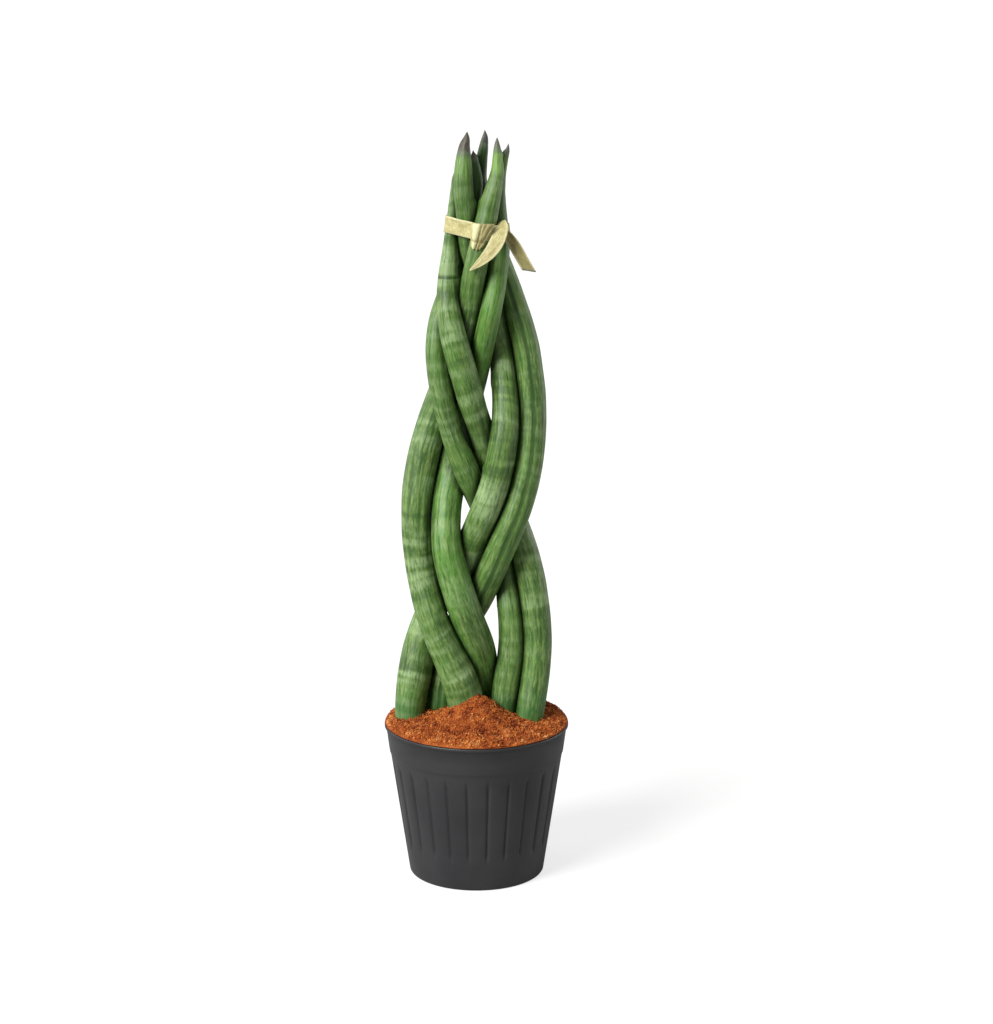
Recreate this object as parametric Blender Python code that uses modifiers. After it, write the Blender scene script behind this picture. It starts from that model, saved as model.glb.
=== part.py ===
# Braided cylindrical snake plant in a ribbed nursery pot.
# Six round grooved leaves stand in coir soil, plaited as three pairs and tied with a ribbon.
# Units are metres, +Z is up, and the centre of the pot's underside is the origin.

import math

import bmesh
import bpy
import numpy as np
from mathutils import Matrix, Vector, noise

mm = 0.001

# Clear space between solids that touch on the real plant.
touch_gap = 0.3 * mm

# Pot: a thin-walled cone with rounded vertical lobes under a plain collar.
pot_height = 93 * mm
pot_foot_radius = 40.2 * mm
pot_rim_radius = 54.2 * mm
pot_lip_radius = 55.0 * mm
pot_lip_height = 1.8 * mm
pot_wall = 1.9 * mm
pot_floor = 2.4 * mm
foot_round = 2.0 * mm
foot_ring_width = 5.0 * mm
foot_recess = 2.0 * mm
collar_height = 17.0 * mm
collar_step = 0.5 * mm
lobe_count = 25
columns_per_lobe = 4
lobe_phase = math.radians(80.5)
valley_depth = 0.9 * mm
lobe_bottom = 17.0 * mm
lobe_top = 73.0 * mm
lobe_fade = 6.0 * mm
drain_count = 6
drain_radius = 4.0 * mm
drain_circle = 24.0 * mm

# Soil: it fills the pot, heaps up in the middle and laps over the lip.
soil_edge_height = 93.6 * mm
soil_edge_radius = 54.5 * mm
soil_rise = 4.0 * mm
soil_shoulder = 1.8 * mm
shoulder_width = 4.5 * mm
heap_rise = 15.5 * mm
heap_spread = 12.0 * mm
heap_center = Vector((-0.001, -0.0165))
crumb_size = 5.5 * mm
crumb_height = 1.5 * mm
soil_columns = 60
soil_rings = 13

# Leaves: knots along each axis, as height, right, back and radius in millimetres.
leaf_knots = {
    "leaf_1": [
        (60, -36.5, -1, 5.2), (80, -39, -1, 7.4), (100, -40, 0, 8.7), (120, -38.5, 4, 8.7),
        (140, -34.5, 8, 8.7), (160, -26.5, 10, 8.6), (180, -16, 9, 8.4), (200, -4.5, 3, 8.4),
        (220, 4, -7, 8.5), (240, 11, -9, 8.5), (260, 15, -9, 8.2), (280, 17.5, -3, 7.7),
        (300, 17, 4, 7.2), (320, 14.5, 8, 6.9), (340, 9, 9, 6.5), (360, 1.5, 5, 6.2),
        (380, -4, -4, 5.6), (400, -5.5, -6, 5.4), (412, -7, -6, 5.5), (424, -7, -5, 4.9),
        (433, -6.5, -4, 3.8), (440, -5.8, -3, 2.7), (445, -4, -2.5, 0.9),
    ],
    "leaf_2": [
        (60, -20, 7, 5.0), (80, -22, 8, 6.8), (100, -22.5, 9, 7.6), (120, -19.5, 11, 7.9),
        (140, -12.5, 11, 8.3), (160, -1.5, 10, 8.3), (180, 6.5, 2, 8.2), (200, 14, -7, 8.1),
        (220, 22, -8, 8.2), (240, 28.5, -5, 8.2), (260, 32, -3, 8.0), (280, 33, 0, 7.9),
        (300, 31.5, 4, 7.7), (320, 28.5, 7, 7.6), (340, 23, 9, 7.2), (360, 17, 9, 6.5),
        (380, 10, 7, 5.6), (400, 5, 9, 4.6), (420, 2.4, 10, 3.7), (434, 4.6, 8, 2.9),
        (440, 5.2, 7.5, 2.0), (445, 6, 7, 0.9),
    ],
    "leaf_3": [
        (60, -4, -7, 6.0), (80, -4.5, -7.5, 8.8), (100, -5, -8, 10.6), (120, -9.5, -9, 10.6),
        (140, -18, -9, 9.5), (160, -26, -9, 8.9), (180, -31.5, -3, 8.4), (200, -34.5, 0, 8.4),
        (220, -35, 2, 8.9), (240, -33.5, 5, 9.2), (260, -29.5, 7, 9.1), (280, -23.5, 9, 8.8),
        (300, -16, 7, 8.3), (320, -9, -2, 7.7), (340, -3, -8, 7.0), (360, -1.5, -9, 6.5),
        (380, 2.5, -8, 6.3), (400, 7.2, -7, 5.8), (411, 10, -6, 5.0), (419, 12.2, -5, 4.0),
        (428, 12.9, -4.5, 3.3), (435, 12.3, -4, 2.3), (442, 12.2, -3, 0.7),
    ],
    "leaf_4": [
        (60, 5, 12, 5.5), (80, 5, 12, 7.4), (100, 5.5, 12, 8.2), (120, 4.5, 9, 8.6),
        (140, 2, -3, 9.1), (160, -5.5, -9, 9.4), (180, -11.5, -10, 9.2), (200, -17, -9, 8.7),
        (220, -17.5, -3, 8.2), (240, -15.5, 4, 8.0), (260, -11, 7, 7.6), (280, -5.5, 9, 7.1),
        (300, -0.5, 7, 6.4), (320, 4, -2, 5.9), (340, 7.5, -8, 5.9), (360, 12, -7, 5.6),
        (380, 14.5, -3, 5.1), (400, 13, -1, 4.5), (418, 14, 0, 3.2), (430, 17, 0, 2.0),
        (438, 19.5, 0, 0.7),
    ],
    "leaf_5": [
        (60, 15, -4, 5.0), (80, 15, -4, 6.4), (100, 15.5, -4, 7.0), (120, 18, -1, 7.2),
        (140, 20.5, 0, 7.0), (160, 19.5, 2, 6.6), (180, 17, 6, 6.3), (200, 12, 8, 6.1),
        (220, 4, 7, 5.8), (240, -4.5, 0, 5.5), (260, -11.5, -7, 5.4), (280, -17, -8, 5.6),
        (300, -21.5, -6, 5.7), (320, -23.5, -3, 5.6), (340, -21, 2, 5.4), (360, -15, 6, 5.2),
        (380, -7.5, 8, 4.9), (400, -2.5, 6, 4.4), (412, 0, 4, 4.2), (419, 0.6, 3, 3.7),
        (426, -0.3, 3, 2.6), (434, -2, 3, 0.7),
    ],
    "leaf_6": [
        (60, 28.5, -8, 5.2), (80, 30, -8, 7.0), (100, 32, -8, 8.0), (120, 35, -3, 8.3),
        (140, 36.5, 0, 8.4), (160, 35.5, 2, 8.4), (180, 32.5, 6, 8.4), (200, 27, 9, 8.2),
        (220, 20, 9, 7.8), (240, 13.5, 9, 7.4), (260, 7.5, 4, 7.0), (280, 0.5, -5, 7.1),
        (300, -5, -9, 7.8), (320, -10.5, -7, 7.7), (340, -15, -5, 6.8), (360, -16, -2, 5.6),
        (380, -14.5, -1, 3.9), (400, -12.8, 0, 3.1), (414, -12, 0, 2.1), (422, -12.3, 0, 0.7),
    ],
}
path_step = 4.5 * mm
leaf_clearance = 0.65 * mm
groove_count = 8
groove_depth = 0.08
settle_rounds = 300
side_share = 0.35
hold_side = 0.03
hold_depth = 0.004
hole_sides = 16
hole_top = 125.0 * mm

# Ribbon: a band around the bundle, a folded knot at the front and two tails.
ribbon_width = 9.5 * mm
ribbon_thickness = 0.7 * mm
ribbon_height = 390.0 * mm
ribbon_slope = -0.13
ribbon_columns = 40
knot_center = Vector((6.3 * mm, -19.9 * mm, 386.0 * mm))
knot_size = Vector((8.5 * mm, 3.0 * mm, 13.5 * mm))
knot_turn = math.radians(14)
knot_round = 1.2 * mm

# Tails: hand-chosen points along each, as right, back, height and half width in millimetres.
tail_knots = {
    "tail_front": [
        (16, -8, 392.5, 3.0), (15.5, -13, 389.5, 3.6), (12.5, -18, 384, 3.7), (8.5, -20, 379, 3.6),
        (3.5, -20, 374, 2.6), (-3, -19, 368.5, 0.5),
    ],
    "tail_side": [
        (15, -9.3, 387.8, 2.2), (18, -11, 386, 3.0), (22, -11.5, 380, 3.4), (25.5, -12, 374, 3.3),
        (29, -12.5, 368.5, 3.2), (31.5, -13, 364.8, 2.8),
    ],
}

# Colours and finishes: base colour, roughness, metallic.
finishes = {
    "pot": ((0.028, 0.029, 0.031), 0.45, 0.0),
    "soil": ((0.19, 0.075, 0.028), 0.95, 0.0),
    "leaf": ((0.11, 0.21, 0.075), 0.45, 0.0),
    "ribbon": ((0.62, 0.54, 0.33), 0.40, 0.2),
}


def clear_scene():
    """Remove every object of the file that the script runs in."""
    for item in list(bpy.data.objects):
        bpy.data.objects.remove(item, do_unlink=True)


def new_collection(name):
    """Make a collection linked to the scene."""
    group = bpy.data.collections.new(name)
    bpy.context.scene.collection.children.link(group)
    return group


def new_material(name, finish):
    """Make a Principled material with one colour, roughness and metallic value."""
    color, roughness, metallic = finish
    material = bpy.data.materials.new(name)
    material.use_nodes = True
    shader = material.node_tree.nodes["Principled BSDF"]
    shader.inputs["Base Color"].default_value = (*color, 1.0)
    shader.inputs["Roughness"].default_value = roughness
    shader.inputs["Metallic"].default_value = metallic
    material.diffuse_color = (*color, 1.0)
    return material


def add_object(name, data, group, material=None):
    """Put mesh or curve data into a collection as a named object."""
    item = bpy.data.objects.new(name, data)
    group.objects.link(item)
    if material is not None:
        data.materials.append(material)
    return item


def baked_mesh(item, weld=0.00002):
    """Return the evaluated mesh of an object with its seams welded."""
    bpy.context.view_layer.update()
    graph = bpy.context.evaluated_depsgraph_get()
    mesh = bpy.data.meshes.new_from_object(item.evaluated_get(graph))
    work = bmesh.new()
    work.from_mesh(mesh)
    bmesh.ops.remove_doubles(work, verts=work.verts, dist=weld)
    bmesh.ops.recalc_face_normals(work, faces=work.faces)
    work.to_mesh(mesh)
    work.free()
    return mesh


def ease(value):
    """Smooth step from 0 to 1."""
    t = min(max(value, 0.0), 1.0)
    return t * t * (3 - 2 * t)


def pot_radius(height):
    """Outer radius of the plain cone at a height."""
    return pot_foot_radius + (pot_rim_radius - pot_foot_radius) * height / pot_height


def inner_radius(height):
    """Inner radius of the pot at a height."""
    return pot_radius(height) - pot_wall


def pot_profile():
    """Half outline of the pot, from the inner floor over the lip to the underside."""
    floor_top = foot_recess + pot_floor
    points = [(0.0, floor_top), (inner_radius(floor_top) - foot_round, floor_top)]
    points.append((inner_radius(floor_top + foot_round), floor_top + foot_round))
    points.append((pot_rim_radius - pot_wall, pot_height - pot_lip_height))
    points.append((pot_rim_radius - pot_wall + 0.4 * mm, pot_height))
    points.append((pot_lip_radius - 0.4 * mm, pot_height))
    points.append((pot_lip_radius, pot_height - 0.4 * mm))
    points.append((pot_lip_radius, pot_height - pot_lip_height))
    collar_top = pot_height - pot_lip_height - 0.6 * mm
    points.append((pot_radius(collar_top) + 0.1 * mm, collar_top))
    collar_foot = pot_height - collar_height
    points.append((pot_radius(collar_foot) + collar_step, collar_foot))
    points.append((pot_radius(collar_foot), collar_foot - 0.8 * mm))
    for height in (lobe_top, lobe_top - lobe_fade, lobe_bottom + lobe_fade, lobe_bottom):
        points.append((pot_radius(height), height))
    for turn in (0, 45, 90):
        angle = math.radians(turn)
        side = pot_radius(foot_round) - foot_round * (1 - math.cos(angle))
        points.append((side, foot_round * (1 - math.sin(angle))))
    ring_inside = pot_foot_radius - foot_round - foot_ring_width
    points.append((ring_inside, 0.0))
    points.append((ring_inside - 0.8 * mm, foot_recess))
    points.append((0.0, foot_recess))
    return points


def lobe_dip(angle, height):
    """Depth of the valleys between the lobes, at an angle from the front."""
    rise = ease((height - lobe_bottom) / lobe_fade)
    fall = ease((lobe_top - height) / lobe_fade)
    phase = (angle - lobe_phase) * lobe_count / (2 * math.pi)
    across = abs(phase - round(phase)) * 2
    return valley_depth * (1 - across) ** 2 * rise * fall


def make_pot(group, cutters, material):
    """Turned pot with lobes pressed into its outside and holes in its floor."""
    outline = bpy.data.meshes.new("pot_outline")
    points = pot_profile()
    edges = [(i, i + 1) for i in range(len(points) - 1)]
    outline.from_pydata([(x, 0.0, z) for x, z in points], edges, [])
    turned = add_object("pot_outline", outline, cutters)
    screw = turned.modifiers.new("turn", "SCREW")
    screw.steps = lobe_count * columns_per_lobe
    screw.render_steps = screw.steps
    screw.use_merge_vertices = True
    screw.merge_threshold = 0.0001
    mesh = baked_mesh(turned)
    bpy.data.objects.remove(turned, do_unlink=True)
    for vert in mesh.vertices:
        radius = math.hypot(vert.co.x, vert.co.y)
        height = vert.co.z
        if radius > pot_radius(height) - 0.1 * mm:
            angle = math.atan2(vert.co.x, -vert.co.y)
            scale = (radius - lobe_dip(angle, height)) / radius
            vert.co.x *= scale
            vert.co.y *= scale
    mesh.name = "pot"
    pot = add_object("pot", mesh, group, material)
    for index in range(drain_count):
        angle = 2 * math.pi * index / drain_count
        bpy.ops.mesh.primitive_cylinder_add(
            vertices=16,
            radius=drain_radius,
            depth=4 * pot_floor,
            location=(drain_circle * math.cos(angle), drain_circle * math.sin(angle), foot_recess),
        )
        drill = bpy.context.object
        drill.name = f"drain_{index + 1}"
        move_to(drill, cutters)
        cut(pot, drill)


def move_to(item, group):
    """Leave an object in one collection only."""
    for other in list(item.users_collection):
        other.objects.unlink(item)
    group.objects.link(item)


def cut(target, cutter):
    """Subtract a cutter from an object with an exact boolean."""
    cutter.hide_render = True
    cutter.display_type = "WIRE"
    step = target.modifiers.new(cutter.name, "BOOLEAN")
    step.operation = "DIFFERENCE"
    step.solver = "EXACT"
    step.object = cutter


def smooth_path(knots):
    """Points every path_step along a leaf, through its knots, as an array of x, y, z and radius."""
    table = np.array(knots, dtype=float) * mm
    heights = table[:, 0]
    slopes = np.gradient(table[:, 1:], heights, axis=0)
    slopes[:, 2] *= 0.6
    count = 2 * int(round((heights[-1] - heights[0]) / path_step / 2)) + 1
    rows = []
    for z in np.linspace(heights[0], heights[-1], count):
        i = min(int(np.searchsorted(heights, z, side="right")) - 1, len(heights) - 2)
        span = heights[i + 1] - heights[i]
        t = (z - heights[i]) / span
        start = (2 * t ** 3 - 3 * t ** 2 + 1) * table[i, 1:] + (t ** 3 - 2 * t ** 2 + t) * span * slopes[i]
        end = (3 * t ** 2 - 2 * t ** 3) * table[i + 1, 1:] + (t ** 3 - t ** 2) * span * slopes[i + 1]
        x, y, radius = start + end
        rows.append((x, y, z, radius))
    return np.array(rows)


def push_apart(first, second):
    """Sideways moves that take one leaf's points clear of another leaf."""
    moves = np.zeros((len(first), 2))
    apart = first[:, None, :3] - second[None, :, :3]
    distance = np.sqrt((apart ** 2).sum(axis=2)) + 1e-9
    needed = first[:, None, 3] + second[None, :, 3] + leaf_clearance
    lack = needed - distance
    for i in range(len(first)):
        j = int(np.argmax(lack[i]))
        if lack[i, j] > 0:
            way = apart[i, j, :2] * np.array((side_share, 1.0))
            length = math.hypot(way[0], way[1])
            if length > 1e-6:
                moves[i] = way / length * lack[i, j] * 0.5
    return moves


def spread(moves):
    """Even out moves along a leaf so that it bends smoothly."""
    padded = np.pad(moves, ((2, 2), (0, 0)), mode="edge")
    weights = (0.12, 0.22, 0.32, 0.22, 0.12)
    return sum(w * padded[k:k + len(moves)] for k, w in enumerate(weights))


def settle_leaves():
    """Lay the leaf axes over and under each other until the leaves no longer touch."""
    paths = {name: smooth_path(knots) for name, knots in leaf_knots.items()}
    goals = {name: path.copy() for name, path in paths.items()}
    hold = np.array((hold_side, hold_depth))
    for round_number in range(settle_rounds):
        strength = 1.0 if round_number < settle_rounds * 0.8 else 0.0
        moves = {}
        for name, path in paths.items():
            total = np.zeros((len(path), 2))
            for other, other_path in paths.items():
                if other != name:
                    total += push_apart(path, other_path)
            moves[name] = spread(total)
        for name, path in paths.items():
            path[:, :2] += moves[name]
            path[:, :2] += strength * hold * (goals[name][:, :2] - path[:, :2])
    return paths


def ring_curve(name, group, radii):
    """Closed outline around the origin with one radius for each point."""
    data = bpy.data.curves.new(name, "CURVE")
    data.dimensions = "2D"
    line = data.splines.new("POLY")
    line.points.add(len(radii) - 1)
    line.use_cyclic_u = True
    for i, radius in enumerate(radii):
        angle = 2 * math.pi * i / len(radii)
        line.points[i].co = (radius * math.cos(angle), radius * math.sin(angle), 0.0, 1.0)
    return add_object(name, data, group)


def swept_mesh(name, path, outline, group):
    """Mesh of an outline swept along a path of x, y, z and radius."""
    data = bpy.data.curves.new(name, "CURVE")
    data.dimensions = "3D"
    data.bevel_mode = "OBJECT"
    data.bevel_object = outline
    data.use_fill_caps = True
    line = data.splines.new("POLY")
    line.points.add(len(path) - 1)
    for point, (x, y, z, radius) in zip(line.points, path):
        point.co = (x, y, z, 1.0)
        point.radius = radius
    item = add_object(name, data, group)
    mesh = baked_mesh(item)
    mesh.name = name
    bpy.data.objects.remove(item, do_unlink=True)
    return mesh


def make_leaves(group, cutters, paths, material):
    """Six grooved leaves, each swept along its settled axis."""
    radii = [1.0 - groove_depth * (i % 2) for i in range(2 * groove_count)]
    outline = ring_curve("leaf_outline", cutters, radii)
    for name, path in paths.items():
        add_object(name, swept_mesh(name, path[::2], outline, group), group, material)
    bpy.data.objects.remove(outline, do_unlink=True)


def soil_height(x, y):
    """Height of the coir at a place: a low dome with a round edge, a heap and crumbs."""
    radius = math.hypot(x, y)
    dome = soil_rise * (1 - min(radius / soil_edge_radius, 1.0) ** 2)
    dome += soil_shoulder * ease((soil_edge_radius - radius) / shoulder_width)
    away = (Vector((x, y)) - heap_center).length
    heap = heap_rise * math.exp(-0.5 * (away / heap_spread) ** 2)
    grain = noise.noise(Vector((x, y, 0.0)) / crumb_size)
    return soil_edge_height + dome + heap + crumb_height * max(grain, -0.5)


def make_soil(group, cutters, paths, material):
    """Coir that fills the pot, with a plain hole for each leaf base."""
    work = bmesh.new()
    floor_top = foot_recess + pot_floor + touch_gap
    side = [
        (inner_radius(floor_top) - foot_round - touch_gap, floor_top),
        (inner_radius(floor_top + foot_round) - 2 * touch_gap, floor_top + foot_round),
        (inner_radius(pot_height - pot_lip_height) - 2 * touch_gap, pot_height - pot_lip_height),
        (inner_radius(pot_height) - touch_gap, pot_height + touch_gap),
    ]
    rings = []
    for radius, height in side:
        rings.append([work.verts.new(polar(radius, k, height)) for k in range(soil_columns)])
    for step in range(soil_rings):
        radius = soil_edge_radius * (1 - step / soil_rings)
        ring = []
        for k in range(soil_columns):
            x, y, _ = polar(radius, k, 0.0)
            ring.append(work.verts.new((x, y, max(soil_height(x, y), pot_height + 2 * touch_gap))))
        rings.append(ring)
    for lower, upper in zip(rings, rings[1:]):
        for k in range(soil_columns):
            after = (k + 1) % soil_columns
            work.faces.new((lower[k], lower[after], upper[after], upper[k]))
    work.faces.new(list(reversed(rings[0])))
    top = work.verts.new((0.0, 0.0, soil_height(0.0, 0.0)))
    for k in range(soil_columns):
        work.faces.new((rings[-1][k], rings[-1][(k + 1) % soil_columns], top))
    bmesh.ops.recalc_face_normals(work, faces=work.faces)
    mesh = bpy.data.meshes.new("soil")
    work.to_mesh(mesh)
    work.free()
    soil = add_object("soil", mesh, group, material)
    for name, path in paths.items():
        base = path[path[:, 2] < hole_top][::2].copy()
        base[0, 2] -= touch_gap
        base[:, 3] = (base[:, 3] + 1.5 * touch_gap) / math.cos(math.pi / hole_sides)
        outline = ring_curve("hole_outline", cutters, [1.0] * hole_sides)
        hole_name = f"hole_{name}"
        hole = add_object(hole_name, swept_mesh(hole_name, base, outline, cutters), cutters)
        bpy.data.objects.remove(outline, do_unlink=True)
        cut(soil, hole)


def polar(radius, column, height):
    """Point on a soil ring."""
    angle = 2 * math.pi * column / soil_columns
    return (radius * math.cos(angle), radius * math.sin(angle), height)


def leaf_circle(path, height):
    """Center and half thickness of a leaf where the sloping ribbon crosses it."""
    level = height
    for _ in range(3):
        x = float(np.interp(level, path[:, 2], path[:, 0]))
        level = height + ribbon_slope * x
    y = float(np.interp(level, path[:, 2], path[:, 1]))
    lean = np.gradient(path[:, :2], path[:, 2], axis=0)
    stretch = np.sqrt(1 + (lean ** 2).sum(axis=1))
    radius = float(np.interp(level, path[:, 2], path[:, 3] * stretch))
    return x, y, radius


def bundle_outline(paths, height, clearance):
    """Points of a loop stretched around all leaves at one height."""
    tall = [path for path in paths.values() if path[-1, 2] > height]
    circles = [leaf_circle(path, height) for path in tall]
    loop = []
    for k in range(ribbon_columns):
        angle = 2 * math.pi * k / ribbon_columns
        way = (math.cos(angle), math.sin(angle))
        x, y, radius = max(circles, key=lambda c: c[0] * way[0] + c[1] * way[1] + c[2])
        reach = radius + clearance
        loop.append((x + reach * way[0], y + reach * way[1]))
    return loop


def ribbon_band(paths):
    """Closed band around the bundle."""
    work = bmesh.new()
    half = ribbon_width / 2
    inner = 1.5 * touch_gap
    outer = inner + ribbon_thickness
    corners = ((-half, inner), (0.0, inner), (half, inner), (half, outer), (0.0, outer), (-half, outer))
    rings = []
    for rise, clearance in corners:
        level = ribbon_height + rise
        loop = bundle_outline(paths, level, clearance)
        rings.append([work.verts.new((x, y, level + ribbon_slope * x)) for x, y in loop])
    for lower, upper in zip(rings, rings[1:] + rings[:1]):
        for k in range(ribbon_columns):
            after = (k + 1) % ribbon_columns
            work.faces.new((lower[k], lower[after], upper[after], upper[k]))
    bmesh.ops.recalc_face_normals(work, faces=work.faces)
    mesh = bpy.data.meshes.new("ribbon")
    work.to_mesh(mesh)
    work.free()
    return mesh


def ribbon_knot():
    """Rounded block for the folded knot."""
    work = bmesh.new()
    bmesh.ops.create_cube(work, size=1.0)
    bmesh.ops.scale(work, vec=knot_size, verts=work.verts)
    bmesh.ops.bevel(work, geom=work.edges, offset=knot_round, segments=2, profile=0.5, affect="EDGES")
    bmesh.ops.rotate(work, matrix=Matrix.Rotation(knot_turn, 3, "Z"), verts=work.verts)
    bmesh.ops.translate(work, vec=knot_center, verts=work.verts)
    mesh = bpy.data.meshes.new("knot")
    work.to_mesh(mesh)
    work.free()
    return mesh


def tail_mesh(name, knots):
    """Flat strip with square edges that faces the front, tapering along its length."""
    work = bmesh.new()
    points = [Vector(knot[:3]) * mm for knot in knots]
    rings = []
    for i, point in enumerate(points):
        along = (points[min(i + 1, len(points) - 1)] - points[max(i - 1, 0)]).normalized()
        across = along.cross(Vector((0.25, 1.0, 0.0))).normalized()
        through = along.cross(across).normalized() * ribbon_thickness / 2
        reach = across * knots[i][3] * mm
        near = point - through
        far = point + through
        corners = (near - reach, near + reach, far + reach, far - reach)
        rings.append([work.verts.new(corner) for corner in corners])
    for first, second in zip(rings, rings[1:]):
        for k in range(4):
            after = (k + 1) % 4
            work.faces.new((first[k], first[after], second[after], second[k]))
    work.faces.new(rings[0])
    work.faces.new(rings[-1])
    bmesh.ops.recalc_face_normals(work, faces=work.faces)
    mesh = bpy.data.meshes.new(name)
    work.to_mesh(mesh)
    work.free()
    return mesh


def make_ribbon(group, paths, material):
    """Ribbon: band, knot and tails joined in one body."""
    folds = new_collection("ribbon_folds")
    pieces = [add_object("knot", ribbon_knot(), folds)]
    for name, knots in tail_knots.items():
        pieces.append(add_object(name, tail_mesh(name, knots), folds))
    for piece in pieces:
        piece.hide_render = True
        piece.display_type = "WIRE"
    ribbon = add_object("ribbon", ribbon_band(paths), group, material)
    join = ribbon.modifiers.new("join", "BOOLEAN")
    join.operation = "UNION"
    join.solver = "EXACT"
    join.operand_type = "COLLECTION"
    join.collection = folds


def main():
    """Build the plant."""
    clear_scene()
    plant = new_collection("braided_snake_plant")
    cutters = new_collection("cutters")
    materials = {name: new_material(name, finish) for name, finish in finishes.items()}
    paths = settle_leaves()
    make_pot(plant, cutters, materials["pot"])
    make_leaves(plant, cutters, paths, materials["leaf"])
    make_soil(plant, cutters, paths, materials["soil"])
    make_ribbon(plant, paths, materials["ribbon"])


main()
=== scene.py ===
import math
import random

import bmesh
import bpy
from mathutils import Euler, Matrix, Vector, noise
from mathutils.bvhtree import BVHTree


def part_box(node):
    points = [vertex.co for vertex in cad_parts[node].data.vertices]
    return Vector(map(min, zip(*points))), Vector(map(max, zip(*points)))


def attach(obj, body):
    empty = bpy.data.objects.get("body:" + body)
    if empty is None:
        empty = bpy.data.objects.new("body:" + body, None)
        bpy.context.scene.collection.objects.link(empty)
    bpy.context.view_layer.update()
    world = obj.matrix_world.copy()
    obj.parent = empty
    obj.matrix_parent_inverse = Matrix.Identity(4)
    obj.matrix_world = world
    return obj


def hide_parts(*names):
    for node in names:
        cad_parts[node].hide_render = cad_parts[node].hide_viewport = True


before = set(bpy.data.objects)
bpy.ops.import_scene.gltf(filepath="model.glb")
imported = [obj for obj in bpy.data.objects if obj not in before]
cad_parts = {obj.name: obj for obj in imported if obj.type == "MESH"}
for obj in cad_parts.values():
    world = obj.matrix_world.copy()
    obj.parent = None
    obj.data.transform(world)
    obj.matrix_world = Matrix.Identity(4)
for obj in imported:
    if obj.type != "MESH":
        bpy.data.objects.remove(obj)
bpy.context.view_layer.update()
mm = 0.001
scene = bpy.context.scene

# small helpers


def newObject(name, bm, material=None, smooth=True):
    mesh = bpy.data.meshes.new(name)
    bm.to_mesh(mesh)
    bm.free()
    if material:
        mesh.materials.append(material)
    for face in mesh.polygons:
        face.use_smooth = smooth
    item = bpy.data.objects.new(name, mesh)
    scene.collection.objects.link(item)
    return item


# the object's mesh as its modifiers leave it, with the modifiers gone
def settle(item):
    bpy.context.view_layer.update()
    mesh = bpy.data.meshes.new_from_object(item.evaluated_get(bpy.context.evaluated_depsgraph_get()))
    item.modifiers.clear()
    item.data = mesh


# a grid of columns x rows whose points are put in place by shape(u, v), u and v from 0 to 1;
# shape may also give two vectors for the materials, kept as the layers skin and marks
def shapedGrid(bm, columns, rows, shape, weld=0.00001):
    layers = bm.verts.layers.float_vector
    for label in ("skin", "marks"):
        if label not in layers:
            layers.new(label)
    kept = [layers["skin"], layers["marks"]]
    made = bmesh.ops.create_grid(bm, x_segments=columns, y_segments=rows, size=0.5)["verts"]
    for vert in made:
        place, *notes = shape(vert.co.x + 0.5, vert.co.y + 0.5)
        vert.co = place
        for layer, note in zip(kept, notes):
            vert[layer] = note
    if weld:
        bmesh.ops.remove_doubles(bm, verts=made, dist=weld)


def ease(low, high, value):
    t = min(max((value - low) / (high - low), 0.0), 1.0)
    return t * t * (3 - 2 * t)


# 1 in the middle of a bump, 0 away from it
def hill(gap, width):
    return math.exp(-(gap / width) ** 2)


# a smooth curve through points, t from 0 to 1, evenly by number
def through(points, t):
    at = t * (len(points) - 1)
    i = min(int(at), len(points) - 2)
    f = at - i
    p0 = points[max(i - 1, 0)]
    p1, p2 = points[i], points[i + 1]
    p3 = points[min(i + 2, len(points) - 1)]
    return 0.5 * ((2 * p1) + (p2 - p0) * f + (2 * p0 - 5 * p1 + 4 * p2 - p3) * f * f
                  + (3 * p1 - p0 - 3 * p2 + p3) * f * f * f)


# node helpers


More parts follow.
